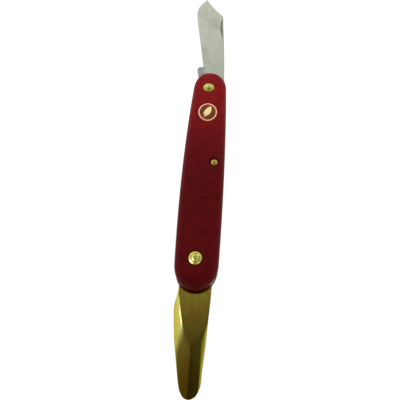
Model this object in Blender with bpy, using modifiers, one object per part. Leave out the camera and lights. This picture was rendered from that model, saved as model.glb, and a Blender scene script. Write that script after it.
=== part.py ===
"""Folding grafting knife: a budding blade and a brass bark lifter in one red handle.

The knife lies on its back scale. X runs across the handle, with the mouth of the slot at -X and
the back spring at +X. Y runs along it, with the blade opening towards +Y and the bark lifter
towards -Y. Z is the thickness, and z = 0 is the flat outer face of the back scale.
"""

import math

import bmesh
import bpy
from mathutils import Matrix, Vector

MM = 0.001

# Handle
HANDLE_LENGTH = 100.0
HANDLE_THICKNESS = 11.0
HALF_WIDTH_MOUTH = 8.45
HALF_WIDTH_BACK = 8.36
BARREL_MOUTH = 1.55
BARREL_BACK = 0.95
BARREL_Y = -4.5
END_REACH = 9.0
SQUARENESS_MOUTH = 2.32
SQUARENESS_BACK = 2.12
SCALE_ROUNDING = 2.2

# Layers through the thickness, from the middle of the slot outwards
SLOT_WIDTH = 3.0
LINER_THICKNESS = 0.5
LAYER_GAP = 0.05
SPRING_THICKNESS = 2.8
TANG_THICKNESS = 2.6

# Pins
PIVOT_X = -0.4
PIVOT_Y = 39.6
SPRING_PIN_X = 4.1
SPRING_PIN_Y = 0.0
PIN_RADIUS = 1.3
RUNNING_GAP = 0.08

# Rosettes, the domed collars under the pivot pins' heads
ROSETTE_RADIUS = 2.45
ROSETTE_DOME = 1.1
ROSETTE_WALL = 0.45
ROSETTE_RECESS_RADIUS = 2.8
FRONT_RECESS_DEPTH = 0.7
BACK_RECESS_DEPTH = 1.3
SPRING_PIN_RECESS_RADIUS = 2.0
SPRING_PIN_RECESS_DEPTH = 0.5
BACK_DOME_SHARE = 0.75
PIN_CROWN = 0.2
PIVOT_PIN_LOW = 0.05
PIVOT_PIN_HIGH = 11.95
SPRING_PIN_LOW = 0.1
SPRING_PIN_HIGH = 11.0

# Badge
BADGE_Y = 25.4
BADGE_HALF_WIDTH = 4.0
BADGE_HALF_HEIGHT = 4.8
BADGE_DEPTH = 0.5
BADGE_GAP = 0.1

# Back spring: flat next to each tang, then deeper towards the pin in its middle
SPRING_INSET = 0.25
SPRING_REACH = 47.0
SPRING_FLAT_Y = 22.0
SPRING_TAPER_Y = 16.5
SPRING_TAPER_DROP = 0.55
SPRING_SHOULDER_Y = 9.0
SPRING_SHOULDER_RISE = 0.45
SPRING_BELLY_Y = 4.5
SPRING_BELLY_X = 1.65
SPRING_NOSE_ROUNDING = 0.6
SPRING_NOSE_SETBACK = 0.35

# Tangs: a rounded square round the pivot, whose flats the spring presses on
TANG_HALF = 4.2
TANG_ROUNDING = 3.1
TANG_SPRING_GAP = 0.05
TANG_SHOULDER = 7.7
TANG_FLAT_END = 5.5
FOLD_ANGLE = 172

# Blade, in millimetres from its pivot; it points to +Y
BLADE_BACK_X = 6.95
BLADE_SPINE = ((5.05, 48.5), (5.8, 36.4), (6.55, 20.4))
BLADE_CORNER = (4.75, 55.8)
BLADE_TIP = (-4.8, 70.3)
BLADE_CLIP_HOLLOW = 0.56
BLADE_KICK = (
    (-5.2, 9.6),
    (-5.5, 12.2),
    (-6.0, 13.8),
    (-6.22, 15.2),
    (-6.05, 16.4),
    (-5.4, 17.1),
    (-4.5, 17.3),
)
BLADE_EDGE_HEEL = (-3.4, 17.5)
BLADE_EDGE = ((-6.3, 36.1), (-9.0, 53.6), (-9.4, 58.2), (-9.25, 61.0), (-8.6, 63.6), (-7.2, 66.4))
BLADE_FAR_THICKNESS = 1.2
GRIND_START = 19.2
GRIND_DROP = 0.55
GRIND_OFFSET = 0.1
EDGE_THICKNESS = 0.1
EDGE_BEVEL_SLOPE = 0.188
TAPER_END = 34.5
NICK_LOW = (5.15, 38.3)
NICK_HIGH = (4.35, 53.5)
NICK_WIDTH = 1.35
NICK_DEPTH = 0.45

# Bark lifter, in millimetres from its pivot; it points to -Y
LIFTER_THICKNESS = 1.25
LIFTER_BACK_X = 6.3
LIFTER_BACK = ((6.2, -12.5), (5.78, -18.5), (5.4, -26.5), (4.7, -35.0), (4.5, -38.4))
LIFTER_TIP = ((3.9, -40.2), (2.95, -41.65), (1.3, -42.55), (-0.25, -42.25), (-1.5, -41.05))
LIFTER_EDGE = (
    (-2.5, -38.6),
    (-4.1, -30.8),
    (-5.0, -26.0),
    (-5.8, -19.5),
    (-6.1, -15.4),
    (-5.5, -11.9),
    (-5.1, -9.6),
)
STEP_START = 5.7
STEP_END = 7.2
BEVEL_TOP = (-5.15, -9.4)
BEVEL_SLOPE = 0.2
FACET_CORNER = (-2.65, -22.0)
FACET_BACK = (4.85, -23.7)
RIDGE_START = (0.68, -28.0)
RIDGE_END = (0.64, -41.3)
LIFTER_TIP_THICKNESS = 0.48

# How finely the curves are divided
PIN_SIDES = 32
PIN_DOME_STEPS = 3
ROSETTE_STEPS = 5
RIM_STEPS = 4
END_STEPS = 10
SIDE_STEPS = 12
OVAL_STEPS = 40
NOSE_STEPS = 4
SPRING_STEPS = 4
TANG_STEPS = 6
BLADE_STEPS = 3
CLIP_STEPS = 6
NICK_STEPS = 12
LIFTER_STEPS = 2

# Tolerances
WELD = 0.001
LEVEL_TOLERANCE = 0.01
FLAT_ANGLE = math.radians(0.05)
SHARP_ANGLE = math.radians(32)

RED_NYLON = (0.22, 0.008, 0.012)
STEEL = (0.49, 0.49, 0.42)
SPRING_STEEL = (0.42, 0.42, 0.40)
BRASS = (0.36, 0.29, 0.07)
LINER_BRASS = (0.45, 0.36, 0.12)
BADGE_COLOUR = (0.45, 0.22, 0.13)

MIDDLE = HANDLE_THICKNESS / 2
SLOT_LOW = MIDDLE - SLOT_WIDTH / 2
SLOT_HIGH = MIDDLE + SLOT_WIDTH / 2
TANG_LOW = MIDDLE - TANG_THICKNESS / 2
TANG_HIGH = MIDDLE + TANG_THICKNESS / 2
SCALE_INNER = SLOT_WIDTH / 2 + LINER_THICKNESS + LAYER_GAP
BLADE_PIVOT = Vector((PIVOT_X, PIVOT_Y, 0.0))
LIFTER_PIVOT = Vector((PIVOT_X, -PIVOT_Y, 0.0))
BORE_RADIUS = PIN_RADIUS + RUNNING_GAP
BELOW = -5.0
ABOVE = HANDLE_THICKNESS + 5.0
FAR = 200.0
UP = Vector((0.0, 0.0, 1.0))
ALONG = Vector((0.0, 1.0, 0.0))


def clear_scene():
    """Remove every object that the scene starts with."""
    for thing in list(bpy.data.objects):
        bpy.data.objects.remove(thing, do_unlink=True)


def new_collection(name):
    """Link a new collection to the scene and return it."""
    made = bpy.data.collections.new(name)
    bpy.context.scene.collection.children.link(made)
    return made


def make_material(name, colour, roughness, metallic):
    """A Principled material in one colour."""
    material = bpy.data.materials.new(name)
    material.use_nodes = True
    shader = material.node_tree.nodes["Principled BSDF"]
    shader.inputs["Base Color"].default_value = (*colour, 1.0)
    shader.inputs["Roughness"].default_value = roughness
    shader.inputs["Metallic"].default_value = metallic
    return material


def place(thing, collection, material=None):
    """Move an object into a collection and give it a material."""
    for old in list(thing.users_collection):
        old.objects.unlink(thing)
    collection.objects.link(thing)
    if material:
        thing.data.materials.clear()
        thing.data.materials.append(material)
    return thing


def shade(thing):
    """Smooth shading with hard edges where the surface turns sharply."""
    thing.data.shade_smooth()
    thing.data.set_sharp_from_angle(angle=SHARP_ANGLE)
    return thing


def arc(centre, radius, start, end, steps):
    """Points on an arc, with its angles in degrees."""
    points = []
    for i in range(steps + 1):
        angle = math.radians(start + (end - start) * i / steps)
        points.append((centre[0] + radius * math.cos(angle), centre[1] + radius * math.sin(angle)))
    return points


def smooth(points, steps):
    """A curve through the points, which starts at the first and ends at the last."""
    ends = [points[0], *points, points[-1]]
    made = [points[0]]
    for i in range(len(points) - 1):
        before, start, end, after = (Vector(p) for p in ends[i : i + 4])
        for step in range(1, steps + 1):
            t = step / steps
            lead = (end - before) / 2
            leave = (after - start) / 2
            spot = (
                start * (2 * t**3 - 3 * t**2 + 1)
                + lead * (t**3 - 2 * t**2 + t)
                + end * (3 * t**2 - 2 * t**3)
                + leave * (t**3 - t**2)
            )
            made.append(tuple(spot))
    return made


def bowed_line(start, end, bow, steps):
    """Points from start to end, without the ends, that bow to the left of the way by bow."""
    start, end = Vector(start), Vector(end)
    way = end - start
    side = Vector((-way.y, way.x)).normalized()
    made = []
    for i in range(1, steps):
        t = i / steps
        made.append(tuple(start + way * t + side * bow * 4 * t * (1 - t)))
    return made


def flat_piece(name, outline, low, high, pivot=(0.0, 0.0, 0.0)):
    """A flat outline, in millimetres, made solid from z = low to z = high, with pivot as origin."""
    curve = bpy.data.curves.new(name + "_outline", "CURVE")
    curve.dimensions = "2D"
    curve.fill_mode = "BOTH"
    curve.extrude = (high - low) / 2 * MM
    spline = curve.splines.new("POLY")
    spline.points.add(len(outline) - 1)
    spline.use_cyclic_u = True
    for point, (x, y) in zip(spline.points, outline):
        point.co = (x * MM, y * MM, 0.0, 1.0)
    guide = bpy.data.objects.new(name + "_outline", curve)
    bpy.context.scene.collection.objects.link(guide)
    bpy.context.view_layer.update()
    graph = bpy.context.evaluated_depsgraph_get()
    mesh = bpy.data.meshes.new_from_object(guide.evaluated_get(graph))
    mesh.name = name
    bpy.data.objects.remove(guide, do_unlink=True)
    solid = bmesh.new()
    solid.from_mesh(mesh)
    bmesh.ops.remove_doubles(solid, verts=solid.verts, dist=WELD * MM)
    bmesh.ops.dissolve_limit(
        solid, angle_limit=FLAT_ANGLE, verts=solid.verts, edges=solid.edges
    )
    bmesh.ops.translate(solid, verts=solid.verts, vec=(0.0, 0.0, (low + high) / 2 * MM))
    bmesh.ops.recalc_face_normals(solid, faces=solid.faces)
    solid.to_mesh(mesh)
    solid.free()
    piece = bpy.data.objects.new(name, mesh)
    piece.location = Vector(pivot) * MM
    return piece


def as_cutter(cutter):
    """Put a mesh object in the cutters' collection, out of the render."""
    place(cutter, cutters)
    cutter.hide_render = True
    cutter.display_type = "WIRE"
    return cutter


def round_cutter(name, x, y, low, high, radius):
    """A cylinder along Z, in world millimetres, to be cut away."""
    solid = bmesh.new()
    bmesh.ops.create_cone(
        solid,
        cap_ends=True,
        segments=PIN_SIDES,
        radius1=radius * MM,
        radius2=radius * MM,
        depth=(high - low) * MM,
    )
    mesh = bpy.data.meshes.new(name)
    solid.to_mesh(mesh)
    solid.free()
    cutter = bpy.data.objects.new(name, mesh)
    cutter.location = Vector((x, y, (low + high) / 2)) * MM
    return as_cutter(cutter)


def half_space(name, point, normal):
    """A large block whose face passes through point, filling the side that normal points to."""
    solid = bmesh.new()
    bmesh.ops.create_cube(solid, size=FAR * MM)
    bmesh.ops.translate(solid, verts=solid.verts, vec=(0.0, 0.0, FAR / 2 * MM))
    mesh = bpy.data.meshes.new(name)
    solid.to_mesh(mesh)
    solid.free()
    cutter = bpy.data.objects.new(name, mesh)
    turn = Vector(normal).to_track_quat("Z", "Y").to_matrix().to_4x4()
    cutter.matrix_world = Matrix.Translation(Vector(point) * MM) @ turn
    return as_cutter(cutter)


def cut(piece, cutter, operation="DIFFERENCE"):
    """Cut one mesh from another with an exact Boolean."""
    step = piece.modifiers.new("cut " + cutter.name, "BOOLEAN")
    step.operation = operation
    step.object = cutter
    step.solver = "EXACT"
    return piece


def turned(name, profile, x, y):
    """A turned piece about a vertical axis, from (radius, z) points from top to bottom."""
    mesh = bpy.data.meshes.new(name)
    points = [(radius * MM, 0.0, z * MM) for radius, z in profile]
    edges = [(i, i + 1) for i in range(len(points) - 1)]
    if profile[0][0] > 0:
        edges.append((len(points) - 1, 0))
    mesh.from_pydata(points, edges, [])
    piece = bpy.data.objects.new(name, mesh)
    piece.location = Vector((x, y, 0.0)) * MM
    screw = piece.modifiers.new("turn", "SCREW")
    screw.axis = "Z"
    screw.steps = PIN_SIDES
    screw.render_steps = PIN_SIDES
    screw.use_merge_vertices = True
    screw.merge_threshold = WELD * MM
    screw.use_smooth_shade = True
    return piece


def half_width(y, widest, barrel):
    """Distance from the centre line to the handle's side at y, without the rounded end."""
    return widest - barrel * (2 * (y - BARREL_Y) / HANDLE_LENGTH) ** 2


def handle_side(widest, barrel, squareness, inset):
    """(distance, y) points along one side of the handle from the -Y end to the +Y end."""
    bend_y = HANDLE_LENGTH / 2 - END_REACH
    power = 2 / squareness

    def end(sign):
        points = []
        for i in range(1, END_STEPS + 1):
            angle = math.radians(90) * i / END_STEPS
            y = sign * (bend_y + (END_REACH - inset) * math.sin(angle) ** power)
            reach = max(math.cos(angle), 0.0) ** power
            points.append(((half_width(y, widest, barrel) - inset) * reach, y))
        return points

    side = []
    for i in range(SIDE_STEPS + 1):
        y = bend_y * (2 * i / SIDE_STEPS - 1)
        side.append((half_width(y, widest, barrel) - inset, y))
    return list(reversed(end(-1))) + side + end(1)


def handle_outline(inset=0.0):
    """The handle's outline, anticlockwise from its -Y end."""
    back = handle_side(HALF_WIDTH_BACK, BARREL_BACK, SQUARENESS_BACK, inset)
    mouth = handle_side(HALF_WIDTH_MOUTH, BARREL_MOUTH, SQUARENESS_MOUTH, inset)
    return back + [(-x, y) for x, y in reversed(mouth[1:-1])]


def round_rim(piece, high_side):
    """Round the rim of a scale's outer face."""
    mesh = piece.data
    level = max(v.co.z for v in mesh.vertices)
    if not high_side:
        level = min(v.co.z for v in mesh.vertices)
    weights = mesh.attributes.new("bevel_weight_edge", "FLOAT", "EDGE")
    for edge in mesh.edges:
        on_rim = all(abs(mesh.vertices[v].co.z - level) < LEVEL_TOLERANCE * MM for v in edge.vertices)
        weights.data[edge.index].value = 1.0 if on_rim else 0.0
    bevel = piece.modifiers.new("rounded rim", "BEVEL")
    bevel.limit_method = "WEIGHT"
    bevel.width = SCALE_ROUNDING * MM
    bevel.segments = RIM_STEPS
    bevel.use_clamp_overlap = False
    return piece


def bore_handle(piece):
    """Bore the three pin holes through a flat piece of the handle."""
    for x, y, label in (
        (PIVOT_X, PIVOT_Y, "blade_pivot"),
        (PIVOT_X, -PIVOT_Y, "lifter_pivot"),
        (SPRING_PIN_X, SPRING_PIN_Y, "spring_pin"),
    ):
        name = f"{piece.name}_{label}_bore"
        cut(piece, round_cutter(name, x, y, BELOW, ABOVE, BORE_RADIUS))
    return piece


def sink(piece, front, label, x, y, radius, depth):
    """Sink a round recess into a scale's outer face."""
    floor, mouth = (HANDLE_THICKNESS - depth, ABOVE) if front else (BELOW, depth)
    cut(piece, round_cutter(f"{piece.name}_{label}_recess", x, y, floor, mouth, radius))


def make_scale(name, front):
    """One red nylon scale, with a rounded rim, pin holes and recesses for the pins' heads."""
    low = MIDDLE + SCALE_INNER if front else 0.0
    high = HANDLE_THICKNESS if front else MIDDLE - SCALE_INNER
    piece = place(flat_piece(name, handle_outline(), low, high), parts, red_nylon)
    round_rim(piece, front)
    bore_handle(piece)
    depth = FRONT_RECESS_DEPTH if front else BACK_RECESS_DEPTH
    for y, label in ((PIVOT_Y, "blade"), (-PIVOT_Y, "lifter")):
        sink(piece, front, label, PIVOT_X, y, ROSETTE_RECESS_RADIUS, depth)
    radius, depth = SPRING_PIN_RECESS_RADIUS, SPRING_PIN_RECESS_DEPTH
    sink(piece, front, "spring_pin", SPRING_PIN_X, SPRING_PIN_Y, radius, depth)
    if front:
        outline = oval(BADGE_HALF_WIDTH + BADGE_GAP, BADGE_HALF_HEIGHT + BADGE_GAP)
        pocket = flat_piece("badge_pocket", outline, HANDLE_THICKNESS - BADGE_DEPTH, ABOVE)
        cut(piece, as_cutter(pocket))
    return shade(piece)


def oval(half_width_x, half_height_y):
    """The badge's oval outline."""
    made = []
    for i in range(OVAL_STEPS):
        angle = math.tau * i / OVAL_STEPS
        made.append((half_width_x * math.cos(angle), BADGE_Y + half_height_y * math.sin(angle)))
    return made


def make_badge():
    """The plain oval badge set into the front scale."""
    low = HANDLE_THICKNESS - BADGE_DEPTH + LAYER_GAP
    outline = oval(BADGE_HALF_WIDTH, BADGE_HALF_HEIGHT)
    piece = flat_piece("badge", outline, low, HANDLE_THICKNESS)
    return shade(place(piece, parts, badge_paint))


def make_liner(name, low):
    """A thin brass liner between a scale and the slot."""
    piece = flat_piece(name, handle_outline(SPRING_INSET), low, low + LINER_THICKNESS)
    place(piece, parts, liner_brass)
    bore_handle(piece)
    return shade(piece)


def make_back_spring():
    """The double-ended back spring, held by its middle pin, with a nose on each tang."""
    inner_x = PIVOT_X + TANG_HALF + TANG_SPRING_GAP
    nose_y = SPRING_REACH - SPRING_NOSE_ROUNDING
    outer = [
        (x, y)
        for x, y in handle_side(HALF_WIDTH_BACK, BARREL_BACK, SQUARENESS_BACK, SPRING_INSET)
        if abs(y) < nose_y
    ]
    belly = smooth(
        [
            (inner_x, SPRING_FLAT_Y),
            (inner_x - SPRING_TAPER_DROP, SPRING_TAPER_Y),
            (SPRING_BELLY_X + SPRING_SHOULDER_RISE, SPRING_SHOULDER_Y),
            (SPRING_BELLY_X, SPRING_BELLY_Y),
        ],
        SPRING_STEPS,
    )
    centre = (inner_x + SPRING_NOSE_ROUNDING, nose_y)
    nose = [(outer[-1][0] - SPRING_NOSE_SETBACK, SPRING_REACH)]
    nose += arc(centre, SPRING_NOSE_ROUNDING, 90, 180, NOSE_STEPS)
    lower = [(x, -y) for x, y in reversed(nose + belly)]
    low = MIDDLE - SPRING_THICKNESS / 2
    outline = outer + nose + belly + lower
    piece = flat_piece("back_spring", outline, low, low + SPRING_THICKNESS)
    place(piece, parts, spring_steel)
    bore = round_cutter("spring_bore", SPRING_PIN_X, SPRING_PIN_Y, BELOW, ABOVE, BORE_RADIUS)
    cut(piece, bore)
    return shade(piece)


def tang_outline():
    """The tang round the pivot, from the spring's flat to the flat that meets it when folded.

    Drawn for a tool that points to +Y. The second flat leans, so that it lies along the spring
    after a turn of FOLD_ANGLE.
    """
    lean = math.radians(180 - FOLD_ANGLE)
    inner = TANG_HALF - TANG_ROUNDING
    edge_inner = inner * (1 - math.sin(lean)) / math.cos(lean)
    back = arc((inner, -inner), TANG_ROUNDING, 0, -90, TANG_STEPS)
    edge = arc((-edge_inner, -inner), TANG_ROUNDING, -90, -FOLD_ANGLE, TANG_STEPS)
    flat_end = (-(TANG_HALF + TANG_FLAT_END * math.sin(lean)) / math.cos(lean), TANG_FLAT_END)
    return [(TANG_HALF, TANG_SHOULDER), *back, *edge, flat_end]


def blade_outline():
    """The blade, in millimetres from its pivot: spine, tang, kick, edge and clipped point."""
    spine = smooth([BLADE_CORNER, *BLADE_SPINE, (BLADE_BACK_X, TANG_SHOULDER)], BLADE_STEPS)
    heel = smooth([*BLADE_KICK, BLADE_EDGE_HEEL], BLADE_STEPS)
    edge = smooth([*BLADE_EDGE, BLADE_TIP], BLADE_STEPS)
    clip = bowed_line(BLADE_TIP, BLADE_CORNER, -BLADE_CLIP_HOLLOW, CLIP_STEPS)
    return spine + tang_outline() + heel + edge + clip


def make_nick():
    """The cutter of the nail nick, a lens-shaped groove with a narrow land beside the spine."""
    bow = bowed_line(NICK_LOW, NICK_HIGH, NICK_WIDTH, NICK_STEPS)
    outline = [NICK_LOW, *bow, NICK_HIGH]
    return as_cutter(
        flat_piece("nail_nick", outline, TANG_HIGH - NICK_DEPTH, ABOVE, BLADE_PIVOT)
    )


def make_blade():
    """The budding blade: full thickness at the tang, thinner on its back towards the tip, and
    ground from both faces to the edge. Its far half keeps to the front half of the slot."""
    piece = flat_piece("blade", blade_outline(), TANG_LOW, TANG_HIGH, BLADE_PIVOT)
    place(piece, parts, steel)
    corner = BLADE_PIVOT + Vector((*BLADE_CORNER, 0.0))
    run = Vector((BLADE_BACK_X - BLADE_CORNER[0], TANG_SHOULDER - BLADE_CORNER[1], 0.0))
    to_edge = Vector((run.y, -run.x, 0.0)).normalized()
    spine = corner - to_edge * GRIND_OFFSET
    grind = GRIND_DROP / (BLADE_CORNER[0] - BLADE_EDGE[-2][0])
    beyond = Vector((0.0, PIVOT_Y + GRIND_START, 0.0))
    far_back = TANG_HIGH - BLADE_FAR_THICKNESS

    front = half_space("front_grind", spine + UP * TANG_HIGH, UP + to_edge * grind)
    cut(front, half_space("ricasso_front", beyond, ALONG), "INTERSECT")
    cut(piece, front)

    back = half_space("back_grind", spine + UP * far_back, -UP + to_edge * grind)
    slope = (far_back - TANG_LOW) / (TAPER_END - GRIND_START)
    cut(back, half_space("taper", beyond + UP * TANG_LOW, ALONG * slope - UP), "INTERSECT")
    cut(piece, back)

    heel = BLADE_PIVOT + Vector((*BLADE_EDGE_HEEL, TANG_HIGH - GRIND_DROP - EDGE_THICKNESS))
    edge_run = Vector((*BLADE_EDGE[0], 0.0)) - Vector((*BLADE_EDGE_HEEL, 0.0))
    outwards = Vector((-edge_run.y, edge_run.x, 0.0)).normalized()
    bevel = half_space("edge_bevel", heel, outwards * EDGE_BEVEL_SLOPE - UP)
    cut(bevel, half_space("ricasso_back", beyond, ALONG), "INTERSECT")
    cut(piece, bevel)

    cut(piece, make_nick())
    cut(piece, round_cutter("blade_bore", PIVOT_X, PIVOT_Y, BELOW, ABOVE, BORE_RADIUS))
    return shade(piece)


def lifter_outline():
    """The bark lifter, in millimetres from its pivot, drawn pointing to -Y."""
    tongue = [(LIFTER_BACK_X, -TANG_SHOULDER), *LIFTER_BACK, *LIFTER_TIP, *LIFTER_EDGE]
    return smooth(tongue, LIFTER_STEPS) + [(x, -y) for x, y in reversed(tang_outline())]


def plane_through(a, b, c):
    """The upward normal of the plane through three points."""
    normal = (b - a).cross(c - a).normalized()
    return normal if normal.z > 0 else -normal


def make_bark_lifter():
    """The bark lifter: a thin brass tongue in the back half of the slot, with a bevel along its
    edge side and two sloping facets that meet in a ridge at its tip."""
    piece = flat_piece("bark_lifter", lifter_outline(), TANG_LOW, TANG_HIGH, LIFTER_PIVOT)
    place(piece, parts, brass)
    face = TANG_LOW + LIFTER_THICKNESS

    def spot(point, z=face):
        return LIFTER_PIVOT + Vector((*point, z))

    rise = (TANG_HIGH - face) / (STEP_END - STEP_START)
    step = half_space("tongue_face", spot((0.0, 0.0)), UP)
    ramp = half_space("tongue_step", spot((0.0, -STEP_START), TANG_HIGH), UP - ALONG * rise)
    cut(step, ramp, "INTERSECT")
    cut(piece, step)

    bevel_run = (spot(FACET_CORNER) - spot(BEVEL_TOP)).normalized()
    to_edge = Vector((bevel_run.y, -bevel_run.x, 0.0))
    bevel = half_space("tongue_bevel", spot(FACET_CORNER), UP + to_edge * BEVEL_SLOPE)
    cut(bevel, half_space("bevel_start", spot((0.0, -STEP_END)), -ALONG), "INTERSECT")
    cut(piece, bevel)

    tip = spot(RIDGE_END, TANG_LOW + LIFTER_TIP_THICKNESS)
    start = spot(RIDGE_START)
    for side, corner in (("edge", FACET_CORNER), ("back", FACET_BACK)):
        normal = plane_through(spot(corner), start, tip)
        cut(piece, half_space(f"{side}_facet", start, normal))
    cut(piece, round_cutter("lifter_bore", PIVOT_X, -PIVOT_Y, BELOW, ABOVE, BORE_RADIUS))
    return shade(piece)


def make_pin(name, x, y, low, high, crown):
    """A plain pin whose two ends are slightly domed."""
    dome = []
    for i in range(PIN_DOME_STEPS + 1):
        angle = math.radians(90) * i / PIN_DOME_STEPS
        dome.append((PIN_RADIUS * math.sin(angle), crown * math.cos(angle)))
    top = [(radius, high - crown + rise) for radius, rise in dome]
    bottom = [(radius, low + crown - rise) for radius, rise in reversed(dome)]
    return shade(place(turned(name, top + bottom, x, y), parts, brass))


def make_rosette(name, y, front):
    """The domed collar round a pivot pin's head, in its recess."""
    outline = [(BORE_RADIUS, 0.0), (ROSETTE_RADIUS, 0.0), (ROSETTE_RADIUS, ROSETTE_WALL)]
    for i in range(1, ROSETTE_STEPS + 1):
        radius = ROSETTE_RADIUS + (BORE_RADIUS - ROSETTE_RADIUS) * i / ROSETTE_STEPS
        height = ROSETTE_DOME * math.sqrt(1 - (radius / ROSETTE_RADIUS) ** 2)
        outline.append((radius, ROSETTE_WALL + height))
    if front:
        floor = HANDLE_THICKNESS - FRONT_RECESS_DEPTH + LAYER_GAP
        profile = [(radius, floor + height) for radius, height in reversed(outline)]
    else:
        floor = BACK_RECESS_DEPTH - LAYER_GAP
        profile = [(radius, floor - height * BACK_DOME_SHARE) for radius, height in outline]
    return shade(place(turned(name, profile, PIVOT_X, y), parts, brass))


clear_scene()
parts = new_collection("grafting_knife")
cutters = new_collection("cutters")
red_nylon = make_material("red_nylon", RED_NYLON, roughness=0.5, metallic=0.0)
steel = make_material("steel", STEEL, roughness=0.35, metallic=1.0)
spring_steel = make_material("spring_steel", SPRING_STEEL, roughness=0.4, metallic=1.0)
brass = make_material("brass", BRASS, roughness=0.3, metallic=1.0)
liner_brass = make_material("liner_brass", LINER_BRASS, roughness=0.4, metallic=1.0)
badge_paint = make_material("badge_paint", BADGE_COLOUR, roughness=0.4, metallic=0.0)

for scale_name, is_front in (("front_scale", True), ("back_scale", False)):
    make_scale(scale_name, is_front)
make_badge()
make_liner("front_liner", SLOT_HIGH)
make_liner("back_liner", SLOT_LOW - LINER_THICKNESS)
make_back_spring()
make_blade()
make_bark_lifter()
for pin_name, pin_y in (("blade_pivot", PIVOT_Y), ("lifter_pivot", -PIVOT_Y)):
    make_pin(pin_name + "_pin", PIVOT_X, pin_y, PIVOT_PIN_LOW, PIVOT_PIN_HIGH, PIN_CROWN)
    make_rosette(pin_name + "_rosette_front", pin_y, True)
    make_rosette(pin_name + "_rosette_back", pin_y, False)
make_pin("spring_pin", SPRING_PIN_X, SPRING_PIN_Y, SPRING_PIN_LOW, SPRING_PIN_HIGH, PIN_CROWN)
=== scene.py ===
import math

import bmesh
import bpy
from mathutils import Matrix, Vector


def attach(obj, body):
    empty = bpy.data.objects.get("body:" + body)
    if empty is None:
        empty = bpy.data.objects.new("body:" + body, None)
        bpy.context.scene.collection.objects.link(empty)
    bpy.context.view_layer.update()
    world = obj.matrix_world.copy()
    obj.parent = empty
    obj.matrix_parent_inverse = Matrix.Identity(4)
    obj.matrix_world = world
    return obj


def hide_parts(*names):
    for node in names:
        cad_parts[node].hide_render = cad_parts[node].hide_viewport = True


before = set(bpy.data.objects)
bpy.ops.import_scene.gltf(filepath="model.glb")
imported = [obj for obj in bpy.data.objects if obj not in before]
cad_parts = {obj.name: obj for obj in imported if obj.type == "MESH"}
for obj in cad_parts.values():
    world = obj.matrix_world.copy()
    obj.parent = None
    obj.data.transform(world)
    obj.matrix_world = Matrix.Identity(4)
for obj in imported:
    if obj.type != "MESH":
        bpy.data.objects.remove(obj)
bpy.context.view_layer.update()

# A folding grafting knife on a white table. Lengths are in millimetres, in the frame's axes: X runs
# across the handle with the slot's mouth at -X, Y along it with the blade at +Y, and Z is up.
MM = 0.001
UP = Vector((0.0, 0.0, 1.0))
ALONG = Vector((0.0, 1.0, 0.0))

# Handle
HANDLE_LENGTH = 100.0
HANDLE_THICKNESS = 11.0
HALF_WIDTH_MOUTH = 8.45
HALF_WIDTH_BACK = 8.36
BARREL_MOUTH = 1.55
BARREL_BACK = 0.95
BARREL_Y = -4.5
END_REACH = 9.0
SQUARENESS_MOUTH = 2.32
SQUARENESS_BACK = 2.12
SCALE_THICKNESS = 3.45
RIM_RADIUS = 2.2
CROWN = 0.22
CROWN_REACH = 6.6
PIVOT_X = -0.4
PIVOT_Y = 39.6
SPRING_PIN_X = 4.1
SPRING_PIN_Y = 0.0
RIVET_SPOTS = ((PIVOT_X, PIVOT_Y), (PIVOT_X, -PIVOT_Y), (SPRING_PIN_X, SPRING_PIN_Y))
PIVOT_SPOTS = RIVET_SPOTS[:2]
ABOVE = HANDLE_THICKNESS + 4.0
FAR = 200.0

# The inset and rise of the scales' eased inner edge
SCALE_FOOT = ((0.12, 0.0), (0.03, 0.04), (0.0, 0.14))

# Recesses, pins and collars. A pin's head is given as radius and depth from its end.
RECESS_RADIUS = 2.8
FRONT_RECESS_DEPTH = 0.7
BACK_RECESS_DEPTH = 1.3
SPRING_PIN_RECESS_RADIUS = 2.0
SPRING_PIN_RECESS_DEPTH = 0.5
RECESS_FOOT = 0.12
LIP = 0.28
LIP_DROP = 0.02
PIN_RADIUS = 1.3
PIN_HEAD = (
    (0.05, 0.0),
    (0.45, 0.01),
    (0.8, 0.04),
    (1.02, 0.1),
    (PIN_RADIUS - 0.1, 0.24),
    (PIN_RADIUS - 0.03, 0.29),
    (PIN_RADIUS, 0.36),
)
PIVOT_PIN_ENDS = (0.05, 11.95)
SPRING_PIN_ENDS = (0.1, 11.0)
BORE_RADIUS = 1.38
ROSETTE_RADIUS = 2.45
ROSETTE_DOME = 1.1
ROSETTE_WALL = 0.45
ROSETTE_BORE = PIN_RADIUS + 0.03
ROSETTE_EASE = 0.06
ROSETTE_LIP = 0.1
ROSETTE_CROWDING = 1.4
ROSETTE_MOUTH = ((0.03, 0.03), (0.0, 0.12))
SEAT = 0.05
BACK_DOME_SHARE = 0.75

# Badge. The rim is given as inset and depth, a leaf as root, tip and half-width.
BADGE_Y = 25.4
BADGE_HALF_WIDTH = 4.0
BADGE_HALF_HEIGHT = 4.8
BADGE_DEPTH = 0.5
BADGE_GAP = 0.1
POCKET_LIP = ((0.0, 0.12), (0.04, 0.05), (0.13, 0.0))
RIM_TOP = ((0.0, 0.1), (0.1, 0.02), (0.2, 0.0), (0.4, 0.0), (0.5, 0.03), (0.55, 0.1))
FIELD_INSET = 0.3
FIELD_DROP = 0.16
LEAF_DROP = 0.02
LEAF_SINK = 0.1
LEAF_EDGE = 0.05
LEAVES = (((-1.55, -3.1), (-0.5, -0.9), 0.24), ((-1.15, -2.3), (1.3, 3.4), 1.4))

# Tangs and tools
TANG_LOW = 4.2
TANG_HIGH = 6.8
TANG_HALF = 4.2
TANG_ROUNDING = 3.1
TANG_SHOULDER = 7.7
TANG_FLAT_END = 5.5
FOLD_LEAN = math.radians(8)

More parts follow.
